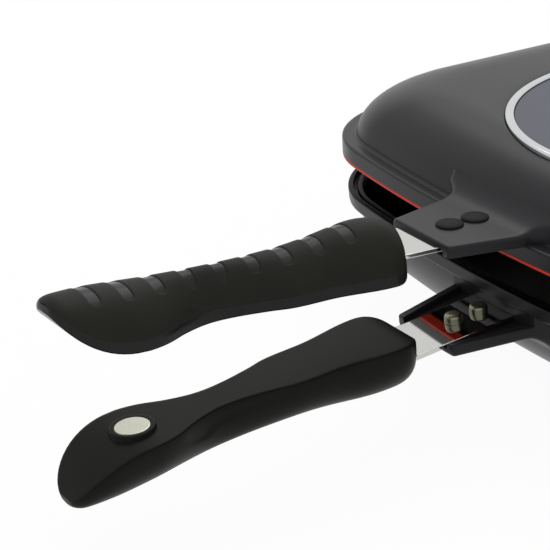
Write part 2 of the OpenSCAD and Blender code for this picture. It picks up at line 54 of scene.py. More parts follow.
# %% Camera
RIGHT, UP, BACK = (0.516, 0.8503, -0.1034), (-0.3094, 0.2976, 0.9032), (0.7988, -0.434, 0.4166)
CAMERA_AT = (0.8057, -0.6587, 0.5101)
SENSOR_MM, FOCAL_PIXELS, FRAME_PIXELS = 36, 2500, 550
lens = bpy.data.cameras.new("camera")
lens.sensor_width = SENSOR_MM
lens.lens = SENSOR_MM * FOCAL_PIXELS / FRAME_PIXELS
lens.clip_start = 0.02
camera = bpy.data.objects.new("camera", lens)
camera.matrix_world = Matrix([*zip(RIGHT, UP, BACK, CAMERA_AT), (0, 0, 0, 1)])
bpy.context.scene.collection.objects.link(camera)
bpy.context.scene.camera = camera
print("lens", round(lens.lens, 1), "mm")

# %% [markdown]
# ## Small tools for materials
# Colours are written as they would be picked from a screen. The renderer counts in linear
# light, so one function turns them over. Another adds one node with its settings, values
# and links, and that is all a procedural material needs.

# %% Colour and node tools
MM = 0.001


def linear(code):
    parts = [int(code[i:i + 2], 16) / 255 for i in (1, 3, 5)]
    return (*[p / 12.92 if p <= 0.04045 else ((p + 0.055) / 1.055) ** 2.4 for p in parts], 1.0)


def add(tree, kind, settings=(), values=(), links=()):
    part = tree.nodes.new(kind)
    for name, value in dict(settings).items():
        setattr(part, name, value)
    for name, value in dict(values).items():
        part.inputs[name].default_value = value
    for name, source in dict(links).items():
        tree.links.new(source, part.inputs[name])
    return part


def new_material(name):
    material = bpy.data.materials.new(name)
    material.use_nodes = True
    tree = material.node_tree
    where = add(tree, "ShaderNodeTexCoord").outputs["Object"]
    return material, tree, tree.nodes["Principled BSDF"], where


print("black in linear light", [round(c, 4) for c in linear("#202020")[:3]])

# %% [markdown]
# ## A finish that is never quite even
# Every real surface varies a little. This helper makes a material from two noises: broad
# patches that shift the colour, and a fine grain that shifts the gloss and moves the
# light as a bump. Both are given by the size of their spots in millimetres, on the
# object's own coordinates, so they stay right whatever the piece. A picture of a surface
# would need an unwrapped mesh and would repeat.
#
# The real grain of paint and moulded plastic is finer than a tenth of a millimetre. A
# pixel of the photograph is nearly half a millimetre on the pan, so here the grain is
# drawn as coarse as it needs to be to show.

# %% A finish from two noises
MIX_DARK, MIX_LIGHT, MIX_RESULT = 6, 7, 2


def finish(name, dark, light, gloss, patch_mm, grain_mm, bump_mm, metal=0.0, specular=0.5):
    material, tree, shader, where = new_material(name)
    patch, grain = (add(tree, "ShaderNodeTexNoise", {},
                        {"Scale": 1 / (size * MM), "Detail": detail},
                        {"Vector": where}).outputs["Fac"]
                    for size, detail in ((patch_mm, 3.0), (grain_mm, 2.0)))
    tint = add(tree, "ShaderNodeMix", {"data_type": "RGBA"},
               {MIX_DARK: linear(dark), MIX_LIGHT: linear(light)}, {"Factor": patch})
    rough = add(tree, "ShaderNodeMapRange", {}, {"To Min": gloss[0], "To Max": gloss[1]},
                {"Value": grain})
    relief = add(tree, "ShaderNodeBump", {}, {"Strength": 1.0, "Distance": bump_mm * MM},
                 {"Height": grain})
    tree.links.new(tint.outputs[MIX_RESULT], shader.inputs["Base Color"])
    tree.links.new(rough.outputs[0], shader.inputs["Roughness"])
    tree.links.new(relief.outputs[0], shader.inputs["Normal"])
    shader.inputs["Metallic"].default_value = metal
    shader.inputs["Specular IOR Level"].default_value = specular
    return material


print("a patch of 30 mm is a noise scale of", round(1 / (30 * MM), 1))

# %% [markdown]
# ### The dark surfaces
# The castings are painted outside and coated inside, and both skins are thin, so the
# metal under them never shows. The handles are moulded: the lower one from phenolic
# alone, the upper one from phenolic with a soft sleeve over it. All of them are nearly
# black, so it is gloss more than colour that tells them apart.

# %% Paint, coating and mouldings
# Sprayed and baked charcoal paint: satin, with a fine grain that breaks up highlights.
charcoal_paint = finish("baked_charcoal_paint_on_cast_aluminium", "#1D1D1F", "#222225",
                        gloss=(0.28, 0.36), patch_mm=30, grain_mm=0.45, bump_mm=0.012,
                        specular=0.16)
# Non-stick layer: smoother and blacker than the paint, so the inside looks deep.
nonstick_layer = finish("black_nonstick_layer", "#050505", "#0A0A0A",
                        gloss=(0.26, 0.34), patch_mm=18, grain_mm=0.5, bump_mm=0.008,
                        specular=0.06)
# Soft-touch rubber: matt, with a slight green-grey cast and hardly any highlight.
soft_rubber = finish("soft_touch_rubber", "#1E1F1B", "#252621",
                     gloss=(0.46, 0.56), patch_mm=16, grain_mm=0.4, bump_mm=0.015, specular=0.08)
# Polished phenolic: glossier than the sleeve, so the slots show as pale bars.
core_phenolic = finish("polished_phenolic_core", "#1B1D1B", "#232523",
                       gloss=(0.2, 0.28), patch_mm=12, grain_mm=0.6, bump_mm=0.004,
                       specular=0.12)
# Moulded phenolic as it comes from the mould: satin, and darker than the paint.
satin_phenolic = finish("moulded_satin_phenolic", "#191A16", "#1F201C",
                        gloss=(0.3, 0.4), patch_mm=20, grain_mm=0.5, bump_mm=0.008,
                        specular=0.04)
# Moulded nylon: a dull black that stands out against the charcoal tongue.
cap_nylon = finish("moulded_black_nylon", "#121412", "#191B19",
                   gloss=(0.4, 0.5), patch_mm=5, grain_mm=0.4, bump_mm=0.006, specular=0.05)
print("materials", len(bpy.data.materials))

# %% [markdown]
# ### The coloured and the bright surfaces
# The seal is the only strong colour. The metals differ in how far they are smoothed: the
# tangs are polished like a mirror, the ring nearly so, the magnets and the rivets less.

# %% Seal, disc and metals
# Moulded silicone rubber: a matt, even red.
red_silicone = finish("moulded_red_silicone", "#B8260F", "#CC3114",
                      gloss=(0.5, 0.6), patch_mm=6, grain_mm=0.6, bump_mm=0.01, specular=0.3)
# Enamel: a dark slate blue with a clear shine on it.
slate_enamel = finish("slate_blue_enamel", "#1E2236", "#262A40",
                      gloss=(0.2, 0.28), patch_mm=25, grain_mm=0.5, bump_mm=0.004, specular=0.3)
# Polished stainless steel: mirrors the white room and the red seal almost sharply.
polished_steel = finish("polished_stainless_steel", "#C0C0BD", "#C8C8C5",
                        gloss=(0.03, 0.06), patch_mm=25, grain_mm=0.5, bump_mm=0.0005, metal=1.0)
# Turned steel: a dull metal with blurred reflections; its slight yellow-green cast is a painted
# reflection, not the steel's own colour.
rivet_steel_with_painted_reflection = finish("rivet_steel_with_painted_green_reflection", "#74755F", "#888A76",
                      gloss=(0.26, 0.38), patch_mm=2, grain_mm=0.35, bump_mm=0.006, metal=1.0)
# Nickel plate: pale and warm, softly shiny.
nickel_plate = finish("nickel_plate", "#ADADA0", "#B8B8AA",
                      gloss=(0.18, 0.28), patch_mm=5, grain_mm=0.4, bump_mm=0.003, metal=1.0)
# Chrome plate: cool and bright, with sharp reflections.
chrome_plate = finish("polished_chrome_plate", "#C2C4C6", "#CBCDCE",
                      gloss=(0.06, 0.12), patch_mm=20, grain_mm=0.6, bump_mm=0.001, metal=1.0)
# Drawn steel: a plain grey metal, for the pin, the clip and the washers.
plain_steel = finish("plain_drawn_steel", "#8E8E90", "#9C9C9E",
                     gloss=(0.25, 0.35), patch_mm=4, grain_mm=0.3, bump_mm=0.004, metal=1.0)
print("materials", len(bpy.data.materials))

# %% [markdown]
# ## From drawing to piece
# Both halves are drawn alike, in millimetres, with height measured away from the plane
# where they meet. Two matrices carry a drawn half to its place: the lower one is mirrored
# downwards and the upper one is swung open about the hinge. A third stands a handle in
# its half, a little tilted.

# %% Places of the two halves
PARTING, HINGE_Y, OPEN = 50.5, 128.0, 4.3
HANDLE_ROOT, HANDLE_BASE, HANDLE_TILT = -165.5, 2.4, 1.05
LOWER = Matrix.Translation((0, 0, PARTING * MM)) @ Matrix.Diagonal((MM, MM, -MM, 1))
UPPER = (Matrix.Translation((0, HINGE_Y * MM, PARTING * MM))
         @ Matrix.Rotation(-math.radians(OPEN), 4, "X")
         @ Matrix.Translation((0, -HINGE_Y * MM, 0)) @ Matrix.Scale(MM, 4))
HANDLE_PLACE = (Matrix.Translation((0, HANDLE_ROOT, HANDLE_BASE))
                @ Matrix.Rotation(-math.radians(HANDLE_TILT), 4, "X"))
HALF = {"lower": (LOWER, "lower_half"), "upper": (UPPER, "upper_half")}
print("hinge at", [round(v, 4) for v in (UPPER @ Vector((0, HINGE_Y, 0)))])

# %% [markdown]
# A drawn shape becomes a piece in one step: doubles are merged, the shape is placed, the
# normals are turned outwards (the mirror turns them in), and edges sharper than an angle
# are kept crisp while the rest shades smoothly.

# %% Make a piece
DOUBLES = 0.002


def make_piece(bm, name, half, nodes, materials, crease=38.0):
    matrix, body = HALF[half]
    bmesh.ops.remove_doubles(bm, verts=bm.verts, dist=DOUBLES)
    bmesh.ops.transform(bm, matrix=matrix, verts=bm.verts)
    bmesh.ops.recalc_face_normals(bm, faces=bm.faces)
    mesh = bpy.data.meshes.new(name)
    bm.to_mesh(mesh)
    bm.free()
    for material in materials:
        mesh.materials.append(material)
    mesh.shade_smooth()
    mesh.set_sharp_from_angle(angle=math.radians(crease))
    piece = bpy.data.objects.new(name, mesh)
    bpy.context.scene.collection.objects.link(piece)
    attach(piece, body)
    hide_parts(*nodes)
    size = [round(v / MM, 1) for v in piece.dimensions]
    print(name, len(mesh.polygons), "faces", size, "mm")
    return piece


print("pieces will ride on", [body for _, body in HALF.values()])

# %% [markdown]
# ## Drawing a rounded section
# Most pieces here have a section that is a polygon with rounded corners. This helper
# takes corners as (across, height, radius) and lays an arc over each. Just before and
# after each arc it sets one more point on the straight side. Smooth shading blends the
# light between neighbouring faces, and those points keep the blend off the flat sides. A
# bevel could round the corners too, but it would give every corner the same radius.

# %% Rounded section
SIDE_LIMIT, GUARD_SHARE, GUARD_LIMIT = 0.49, 0.5, 0.9


def rounded(corners, steps=4, closed=False):
    points, count = [], len(corners)
    for i, (x, z, radius) in enumerate(corners):
        if radius <= 0 or (not closed and i in (0, count - 1)):
            points.append((x, z))
            continue
        here = Vector((x, z))
        sides = [Vector(corners[j % count][:2]) - here for j in (i - 1, i + 1)]
        cut = min(radius / math.tan(sides[0].angle(sides[1]) / 2),
                  *(side.length * SIDE_LIMIT for side in sides))
        one, two = (here + side.normalized() * cut for side in sides)
        guards = [min(cut * GUARD_SHARE, (side.length / 2 - cut) * GUARD_LIMIT) for side in sides]
        hold, keep = (side.normalized() * guard for side, guard in zip(sides, guards))
        shares = [k / steps for k in range(steps + 1)]
        arc = [one.lerp(here, t).lerp(here.lerp(two, t), t) for t in shares]
        points += [(p.x, p.y) for p in [one + hold] + arc + [two + keep]]
    return points


square = [(0, 0, 1), (9, 0, 1), (9, 9, 1), (0, 9, 1)]
print("a rounded square has", len(rounded(square, closed=True)), "points")

# %% [markdown]
# ## Extruding ring by ring
# A loft starts as a circle of points. It is extruded edge by edge, and after each step
# every point is moved to its place on the next ring. Each point remembers its number
# round the ring in a layer called spot, so a rule can say where it goes.

# %% Loft
def loft(bm, count, stations, where, cap_start=False, cap_end=False, paint=None):
    spot = bm.verts.layers.int.get("spot") or bm.verts.layers.int.new("spot")
    start = bmesh.ops.create_circle(bm, cap_ends=False, segments=count, radius=1.0)["verts"]
    for k, vert in enumerate(start):
        vert[spot] = k
        vert.co = where(k, stations[0])
    edges = list(dict.fromkeys(edge for vert in start for edge in vert.link_edges))
    if cap_start:
        bmesh.ops.contextual_create(bm, geom=edges)
    for index, station in enumerate(stations[1:]):
        geom = bmesh.ops.extrude_edge_only(bm, edges=edges)["geom"]
        edges = [g for g in geom if isinstance(g, bmesh.types.BMEdge)]
        for vert in (g for g in geom if isinstance(g, bmesh.types.BMVert)):
            vert.co = where(vert[spot], station)
        if paint:
            for face in (g for g in geom if isinstance(g, bmesh.types.BMFace)):
                face.material_index = paint(index)
    if cap_end:
        bmesh.ops.contextual_create(bm, geom=edges)


trial = bmesh.new()
loft(trial, 8, [0, 1, 2], lambda k, height: (math.cos(k), math.sin(k), height))
print("two steps of a ring of eight give", len(trial.faces), "faces")
trial.free()

# %% [markdown]
# Turned pieces, such as the ring, the rivets, the caps and the magnets, come from
# spinning a section of (radius, height) once round an upright axis.

# %% Spin
def spun(bm, section, y, steps):
    verts = [bm.verts.new((x, y, z)) for x, z in section]
    edges = [bm.edges.new(pair) for pair in zip(verts, verts[1:])]
    bmesh.ops.spin(bm, geom=verts + edges, cent=(0, y, 0), axis=(0, 0, 1), angle=math.tau,
                   steps=steps, use_merge=True)


trial = bmesh.new()
spun(trial, [(1, 0), (2, 0), (2, 1)], 0, 12)
print("two sides spun in twelve steps give", len(trial.faces), "faces")
trial.free()

# %% [markdown]
# ## The outline of the pan
# Seen from above the pan has bowed front and back edges, straight sides and generous
# corners. Going inwards from the rim, the corners stay rounder than a parallel line would
# be, which is what gives the cast shape its soft shoulders. A quarter of the way round
# takes 44 points: the first third on the bow, the next half on the corner and the rest on
# the straight side.

# %% Outline
PAN_W, PAN_D, CORNER, BOW, LEDGE, KEEP = 320.0, 240.0, 54.0, 900.0, 7.0, 0.7
QUARTER, BOW_END, CORNER_END = 44, 0.32, 0.8
HALVINGS = 26


def outline_sizes(inset):
    radius = CORNER - inset + max(inset - LEDGE, 0) * KEEP
    bow, centre_y = BOW - inset, PAN_D / 2 - BOW
    cx = PAN_W / 2 - inset - radius
    cy = centre_y + math.sqrt((bow - radius) ** 2 - cx * cx)
    return radius, bow, centre_y, cx, cy


def outline_point(k, inset):
    quarter, step = divmod(k % (4 * QUARTER), QUARTER)
    t = step / QUARTER if quarter % 2 == 0 else 1 - step / QUARTER
    radius, bow, centre_y, cx, cy = outline_sizes(inset)
    turn = math.atan2(cx, cy - centre_y)
    if t <= BOW_END:
        angle = turn * t / BOW_END
        x, y = bow * math.sin(angle), centre_y + bow * math.cos(angle)
    elif t <= CORNER_END:
        angle = turn + (math.pi / 2 - turn) * (t - BOW_END) / (CORNER_END - BOW_END)
        x, y = cx + radius * math.sin(angle), cy + radius * math.cos(angle)
    else:
        x, y = PAN_W / 2 - inset, cy * (1 - t) / (1 - CORNER_END)
    return (x if quarter < 2 else -x), (y if quarter in (0, 3) else -y)


def inside_outline(x, y, inset):
    radius, bow, centre_y, cx, cy = outline_sizes(inset)
    x, y = abs(x), abs(y)
    if x > cx and y > cy:
        return math.hypot(x - cx, y - cy) <= radius
    return x <= PAN_W / 2 - inset and math.hypot(x, y - centre_y) <= bow


def inset_of(x, y, deepest):
    low, high = 0.0, deepest
    if inside_outline(x, y, deepest):
        return deepest
    for _ in range(HALVINGS):
        middle = (low + high) / 2
        low, high = (middle, high) if inside_outline(x, y, middle) else (low, middle)
    return low


print("half way round", [round(v, 1) for v in outline_point(2 * QUARTER, 0)])

# %% [markdown]
# ## The shoulders
# From its foot on the ledge each half rises in a rounded shoulder to a nearly flat
# middle. The curve is a superellipse: one number, its fullness, says how square it is.
# Insets are counted inwards from the rim. The lid's middle has a slight crown as well.

# %% Shoulder curves
class Shoulder:
    def __init__(self, foot, end, low, high, full, crown=0.0):
        self.foot, self.end, self.low, self.high = foot, end, low, high
        self.full, self.crown = full, crown

    def at(self, angle):
        p = 2 / self.full
        return (self.foot + (self.end - self.foot) * (1 - math.cos(angle) ** p),
                self.low + (self.high - self.low) * math.sin(angle) ** p)

    def height(self, x, y):
        inset = inset_of(x, y, self.end)
        if inset >= self.end:
            edge = math.hypot(x / (PAN_W / 2 - self.end), y / (PAN_D / 2 - self.end))
            return self.high + self.crown * (1 - min(1.0, edge) ** 4)
        share = max(1 - (inset - self.foot) / (self.end - self.foot), 0.0)
        cosine = min(share ** (self.full / 2), 1.0)
        return self.low + (self.high - self.low) * math.sqrt(1 - cosine ** 2) ** (2 / self.full)


upper_shoulder = Shoulder(foot=7.0, end=43.0, low=10.4, high=35.0, full=1.9, crown=1.0)
lower_shoulder = Shoulder(foot=6.5, end=46.5, low=4.1, high=48.0, full=2.0)
upper_hollow = Shoulder(foot=10.0, end=43.0, low=9.4, high=30.0, full=1.9)
lower_hollow = Shoulder(foot=10.0, end=46.5, low=9.4, high=45.0, full=2.0)
print("top of the lid", upper_shoulder.height(0, 0), "mm above the parting plane")

# %% [markdown]
# ## A casting as one skin
# The skin starts at the middle of the outside, under the ring on the lid or on the base
# pad. From a circle it spreads out over the dome towards the outline, runs down the
# shoulder, round the rim with its seat and lip, and back up inside to the middle. A sheet
# with a Solidify modifier would be simpler, but it couldn't give the rim its lip.
#
# Each ring is named by its kind: a pole or a circle at a height, a circle dropped onto
# the dome, a share of the spread, or a ring at an inset and a height. The first rings of
# the rim still wear the paint, and the rest the coating.

# %% Skin of a casting
SPREAD_INSET = 20.0
SPREAD = (0.06, 0.14, 0.24, 0.36, 0.5, 0.64, 0.78, 0.9, 1.0)
WALL_RINGS, HOLLOW_RINGS = 9, 12


def casting(bm, shoulder, hollow, middle, rim, painted):
    def where(k, station):
        kind, size, extra = station
        if kind == "pole":
            return (0, 0, size)
        if kind == "ring":
            return (*outline_point(k, size), extra)
        aim = outline_point(k, SPREAD_INSET)
        x, y = (v * size / math.hypot(*aim) for v in aim)
        if kind == "circle":
            return (x, y, extra)
        if kind == "drop":
            return (x, y, shoulder.height(x, y) - extra)
        p = Vector((x, y)).lerp(Vector(aim), extra)
        return (p.x, p.y, shoulder.height(p.x, p.y))

    share = 1 - (SPREAD_INSET - shoulder.foot) / (shoulder.end - shoulder.foot)
    top = math.acos(share ** (shoulder.full / 2))
    outside = middle + [("spread", middle[-1][1], t) for t in SPREAD]
    outside += [("ring", *shoulder.at(top * (1 - i / WALL_RINGS))) for i in range(1, WALL_RINGS)]
    inside = [("ring", *hollow.at(math.pi / 2 * i / HOLLOW_RINGS)) for i in range(HOLLOW_RINGS + 1)]
    stations = outside + [("ring", *p) for p in rim] + inside + [("pole", hollow.high, 0)]
    last_painted = len(outside) + painted
    loft(bm, 4 * QUARTER, stations, where, paint=lambda i: 0 if i < last_painted else 1)


print("rings over the dome", len(SPREAD), "down the wall", WALL_RINGS - 1)

# %% [markdown]
# ## The tongue
# Each half reaches out to its handle with a flat tongue, folded down at the sides like a
# shallow channel that holds the tang. Its root flares out and climbs up the wall in a
# fillet, which catches a small light. It is lofted along its length, which lets the
# section change from an open channel to a solid web inside the casting. Its own length
# is counted from the pan's front edge, outwards with a minus.

# %% Tongue
TONGUE_Z, TONGUE_TOP, CHANNEL_Z = 9.2, 14.7, 12.1
TONGUE_L, ROOT_HALF, TAPER, FOLD = 32.2, 28.4, 7.7, 4.0
FLARE, FLARE_RUN, FLARE_FROM, FLARE_TO, FLARE_POWER = 6.5, 6.5, 2.0, 9.0, 2.4
EDGE_R, ROOT_R = 1.9, 4.0
WEB_FROM, WEB_POWER = 7.0, 1.5
# The tip is eased: each pair is a place along the tongue and how much the section shrinks.
TONGUE_TIP = ((-32.2, 0.9), (-32.1, 0.55), (-31.8, 0.25), (-31.3, 0.05), (-30.5, 0))
FILLET_RINGS, SEARCH_STEP, SLOPE_SPAN = 12, 0.02, 0.05


def tongue_half_width(y):
    run = max(min(y, FLARE_TO) - FLARE_FROM, 0) / FLARE_RUN
    return ROOT_HALF + TAPER * y / TONGUE_L + FLARE * run ** FLARE_POWER


def fillet_end(shoulder, radius):
    def wall(y):
        return shoulder.height(0, y - PAN_D / 2)

    y, slope = 6.0, 1.2
    while TONGUE_TOP + radius * (1 - math.cos(slope)) > wall(y):
        y += SEARCH_STEP
        slope = math.atan2(wall(y + SLOPE_SPAN) - wall(y - SLOPE_SPAN), 2 * SLOPE_SPAN)
    return y, y - radius * math.sin(slope)


def tongue(bm, shoulder, radius, channel_end, web, climb=0.0):
    reach, start = fillet_end(shoulder, radius)

    def where(k, station):
        y, shrink, solid = station
        low, channel, corner, top = TONGUE_Z, CHANNEL_Z, EDGE_R, TONGUE_TOP - shrink
        if y > start:
            top += radius - math.sqrt(radius ** 2 - (y - start) ** 2)
            corner += ROOT_R * ((y - start) / (reach - start)) ** 2
        if solid:
            low = web + climb * max((y - WEB_FROM) / (reach - WEB_FROM), 0) ** WEB_POWER
            channel = low + 0.05
        w = tongue_half_width(y) - shrink
        inner, foot = w - FOLD + shrink * 0.6, low + shrink * 0.5
        shape = rounded([(-w, foot, 0.8), (-w, top, corner), (w, top, corner), (w, foot, 0.8),
                         (inner, foot, 0.6), (inner, channel, 1.0), (-inner, channel, 1.0),
                         (-inner, foot, 0.6)], steps=4, closed=True)
        return (shape[k][0], y - PAN_D / 2, shape[k][1])

    arc = [start + (reach - start) * i / FILLET_RINGS for i in range(FILLET_RINGS + 1)]
    open_part = [-22.0, -14.0, -8.0] + [y for y in arc if y < channel_end] + [channel_end]
    solid_part = [channel_end + 0.05] + [y for y in arc if y > channel_end + 0.2]
    stations = [(y, shrink, False) for y, shrink in TONGUE_TIP]
    stations += [(y, 0, False) for y in open_part] + [(y, 0, True) for y in solid_part]
    loft(bm, 56, stations, where, cap_start=True, cap_end=True)


print("tongue", round(2 * tongue_half_width(-TONGUE_L), 1), "mm wide at its end,",
      round(2 * tongue_half_width(0), 1), "at its root")

# %% [markdown]
# ## The hinge knuckles
# The hinge hides behind the pan: two knuckles on the lower half, one between them on the
# upper half, each on a neck that runs into the rim. A knuckle is one outline, extruded
# along the pin and eased at its edges. The pin fills its bore, so no bore is drawn.

# %% Knuckle
KNUCKLE_R, KNUCKLE_STEPS, SWEEP = 6.5, 24, 270
NECK_JOIN = (HINGE_Y - 6.45, 0.2)
# Each pair is a distance from an end face and how much the outline shrinks there.
KNUCKLE_EASE = [(0.0, 0.6), (0.15, 0.25), (0.6, 0.0)]


def knuckle(bm, start, width, root, low, high):
    turns = [math.radians(90 - SWEEP * i / KNUCKLE_STEPS) for i in range(KNUCKLE_STEPS)]
    barrel = [(HINGE_Y + KNUCKLE_R * math.cos(a), KNUCKLE_R * math.sin(a)) for a in turns]
    outline = [(root, high)] + barrel + [NECK_JOIN, (root, low)]

    def where(k, station):
        x, shrink = station
        y, z = outline[k]
        away = Vector((y - HINGE_Y, z if k else z - shrink))
        if k:
            away = away * (1 - shrink / max(away.length, KNUCKLE_R))
        return (x, HINGE_Y + away.x, away.y)

    stations = [(start + d, s) for d, s in KNUCKLE_EASE]
    stations += [(start + width - d, s) for d, s in reversed(KNUCKLE_EASE)]
    loft(bm, len(outline), stations, where, cap_start=True, cap_end=True)


print("a knuckle is", 2 * KNUCKLE_R, "mm across")

# %% [markdown]
# ## The two castings
# The lower half stands on a round pad. Its rim has a lip that rises inside the upper rim,
# then a groove and a low ridge. The upper rim is a plain band with a groove for the seal,
# and the lid's skin starts at the seat of the ring.

# %% Lower casting
PAD_R = 84.0
base = [("pole", PARTING, 0), ("circle", 40.0, PARTING), ("circle", PAD_R - 1.0, PARTING),
        ("circle", PAD_R - 0.3, PARTING - 0.3), ("circle", PAD_R, PARTING - 1.0),
        ("drop", PAD_R + 0.2, -0.8), ("drop", PAD_R + 0.8, -0.1), ("drop", PAD_R + 1.6, 0)]
lower_rim = rounded([(6.5, 8.0, 0), (6.5, 4.1, 1.4), (1.7, 4.1, 1.0), (1.7, -2.4, 0.7),
                     (4.2, -2.4, 0.5), (4.2, 0.6, 0.5), (6.2, 0.6, 0.4), (6.2, -1.4, 0.5),
                     (8.0, -1.4, 0.7), (9.0, 1.0, 0.8), (10.0, 9.2, 0)], steps=3)[1:-1]
bm = bmesh.new()
casting(bm, lower_shoulder, lower_hollow, base, lower_rim, painted=14)
tongue(bm, lower_shoulder, radius=12.0, channel_end=3.6, web=4.0)
for start in (-29.9, 15.9):
    knuckle(bm, start, width=14.0, root=117.8, low=0.0, high=3.4)
make_piece(bm, "lower_casting", "lower", ["lower_pan"],
           [charcoal_paint, nonstick_layer], crease=42)

# %% Upper casting
SEAT_R, SEAT_Z = 88.15, 33.0
seat = [("pole", SEAT_Z, 0), ("circle", 50.0, SEAT_Z), ("circle", SEAT_R, SEAT_Z),
        ("drop", SEAT_R + 0.05, 0.35), ("drop", SEAT_R + 0.3, 0.08), ("drop", SEAT_R + 0.75, 0.0)]
upper_rim = rounded([(7.0, 14.0, 0), (7.0, 10.4, 1.6), (0.0, 10.4, 1.1), (0.0, 2.9, 0.3),
                     (1.4, 2.9, 0.1), (1.4, 4.5, 0.1), (5.5, 4.5, 0.1), (5.5, 2.5, 0.2),
                     (9.0, 2.5, 0.8), (10.0, 9.2, 0)], steps=3)[1:-1]
bm = bmesh.new()
casting(bm, upper_shoulder, upper_hollow, seat, upper_rim, painted=36)
tongue(bm, upper_shoulder, radius=20.0, channel_end=0.2, web=TONGUE_Z, climb=8.1)
knuckle(bm, -15.0, width=30.0, root=119.5, low=3.2, high=9.5)
make_piece(bm, "upper_casting", "upper", ["upper_pan"],
           [charcoal_paint, nonstick_layer], crease=42)

# %% [markdown]
# ## The room
# A pale floor and a white surround, as in a product photograph. Rays from the camera and
# rays mirrored by metal see the full white, while the light that falls on the pan is a
# little weaker, so that the blacks stay black. The floor is a matt card that glows for
# those same rays and still keeps a soft shadow.

# %% World
SKY_ON_PAN, SKY_SEEN = 0.75, 1.0


def seen_by_eye(tree):
    rays = add(tree, "ShaderNodeLightPath").outputs
    share = rays["Is Camera Ray"]
    for kind in ("Is Glossy Ray", "Is Transmission Ray"):
        share = add(tree, "ShaderNodeMath", {"operation": "MAXIMUM"}, {},
                    {0: share, 1: rays[kind]}).outputs[0]
    return share


world = bpy.data.worlds.new("white_studio")
bpy.context.scene.world = world
world.use_nodes = True
sky = world.node_tree.nodes["Background"]
level = add(world.node_tree, "ShaderNodeMapRange", {}, {"To Min": SKY_ON_PAN, "To Max": SKY_SEEN},
            {"Value": seen_by_eye(world.node_tree)})
world.node_tree.links.new(level.outputs[0], sky.inputs["Strength"])
sky.inputs["Color"].default_value = (1, 1, 1, 1)
bpy.context.scene.view_settings.view_transform = "Standard"
print("sky on the pan", SKY_ON_PAN, "and seen", SKY_SEEN)

# %% Floor
GLOW_SHARE, FLOOR_HALF, FLOOR_GAP = 0.95, 6.0, 0.4
card, tree, shader, _ = new_material("matt_white_card")
shader.inputs["Base Color"].default_value = linear("#F4F4F4")
shader.inputs["Roughness"].default_value = 1.0
shader.inputs["Specular IOR Level"].default_value = 0.0
glow = add(tree, "ShaderNodeEmission", {}, {"Color": (1, 1, 1, 1), "Strength": 1.0})
share = add(tree, "ShaderNodeMath", {"operation": "MULTIPLY"}, {1: GLOW_SHARE},
            {0: seen_by_eye(tree)})
mixed = add(tree, "ShaderNodeMixShader", {}, {},
            {0: share.outputs[0], 1: shader.outputs[0], 2: glow.outputs[0]})
tree.links.new(mixed.outputs[0], tree.nodes["Material Output"].inputs["Surface"])

bm = bmesh.new()
bmesh.ops.create_grid(bm, x_segments=1, y_segments=1, size=FLOOR_HALF)
bmesh.ops.translate(bm, vec=(0, 0, -FLOOR_GAP * MM), verts=bm.verts)
mesh = bpy.data.meshes.new("floor")
bm.to_mesh(mesh)
bm.free()
mesh.materials.append(card)
floor = bpy.data.objects.new("floor", mesh)
bpy.context.scene.collection.objects.link(floor)
print("floor", 2 * FLOOR_HALF, "m wide")

# %% [markdown]
# Two square lamps add a direction to the even light: one overhead, one from a window side
# behind. They are wide, so every shadow has a soft edge.

# %% Lamps
LAMPS_AIM = Vector((0, -0.05, 0.08))
for name, place, size, power in (("overhead_soft_box", (-0.1, 0.2, 1.6), 1.2, 4.0),
                                 ("window_soft_box", (-0.85, 0.55, 1.35), 1.0, 6.0)):
    lamp = bpy.data.lights.new(name, "AREA")
    lamp.shape, lamp.size, lamp.energy = "SQUARE", size, power
    box = bpy.data.objects.new(name, lamp)
    box.location = place
    box.rotation_euler = (LAMPS_AIM - box.location).to_track_quat("-Z", "Y").to_euler()
    bpy.context.scene.collection.objects.link(box)
    print(name, size, "m wide,", power, "W")

# %% [markdown]
# ## The seal
# A red silicone band hugs the upper rim. Only its skirt shows, below the band of the
# casting, as a thin red line. A curve with a round bevel would be quicker, but the
# section isn't round, so it runs once round the pan as a loft.

# %% Seal
SEAL = rounded([(0.05, 1.5, 0.35), (1.4, 1.5, 0.3), (1.4, 2.5, 0.1), (5.5, 2.5, 0.2),
                (5.5, 4.5, 0.2), (1.4, 4.5, 0.1), (1.4, 2.9, 0.05), (0.05, 2.9, 0.3)],
               steps=3, closed=True)


def on_outline(k, station):
    inset, z = SEAL[k]
    return (*outline_point(station, inset), z)


bm = bmesh.new()
loft(bm, len(SEAL), range(4 * QUARTER + 1), on_outline)
make_piece(bm, "silicone_seal", "upper", ["gasket"], [red_silicone])

# %% [markdown]
# ## Ring and disc on the lid
# A bright ring is let into the lid and holds a dark disc. Both are turned pieces with
# eased edges. The disc has a shallow dish towards its middle.

# %% Ring and disc
RING_IN, RING_OUT, RING_TOP = 84.0, 88.0, 36.28
ring = rounded([(RING_IN, SEAT_Z, 0.1), (RING_OUT, SEAT_Z, 0.1), (RING_OUT, RING_TOP, 1.0),
                (RING_IN, RING_TOP, 0.7)], steps=5, closed=True)
bm = bmesh.new()
spun(bm, ring + ring[:1], 0, steps=144)
make_piece(bm, "bright_ring", "upper", ["lid_ring"], [chrome_plate])

DISC_R, DISC_LOW, DISC_TOP = 83.85, 33.05, 35.4
disc = [(0, DISC_LOW), (DISC_R - 0.15, DISC_LOW)]
disc += rounded([(DISC_R, DISC_LOW, 0), (DISC_R, DISC_TOP, 0.5), (60, DISC_TOP - 0.2, 0)])[1:]
disc += [(30, DISC_TOP - 0.4), (0, DISC_TOP - 0.45)]
bm = bmesh.new()
spun(bm, disc, 0, steps=144)
make_piece(bm, "lid_plate", "upper", ["lid_disc"], [slate_enamel])

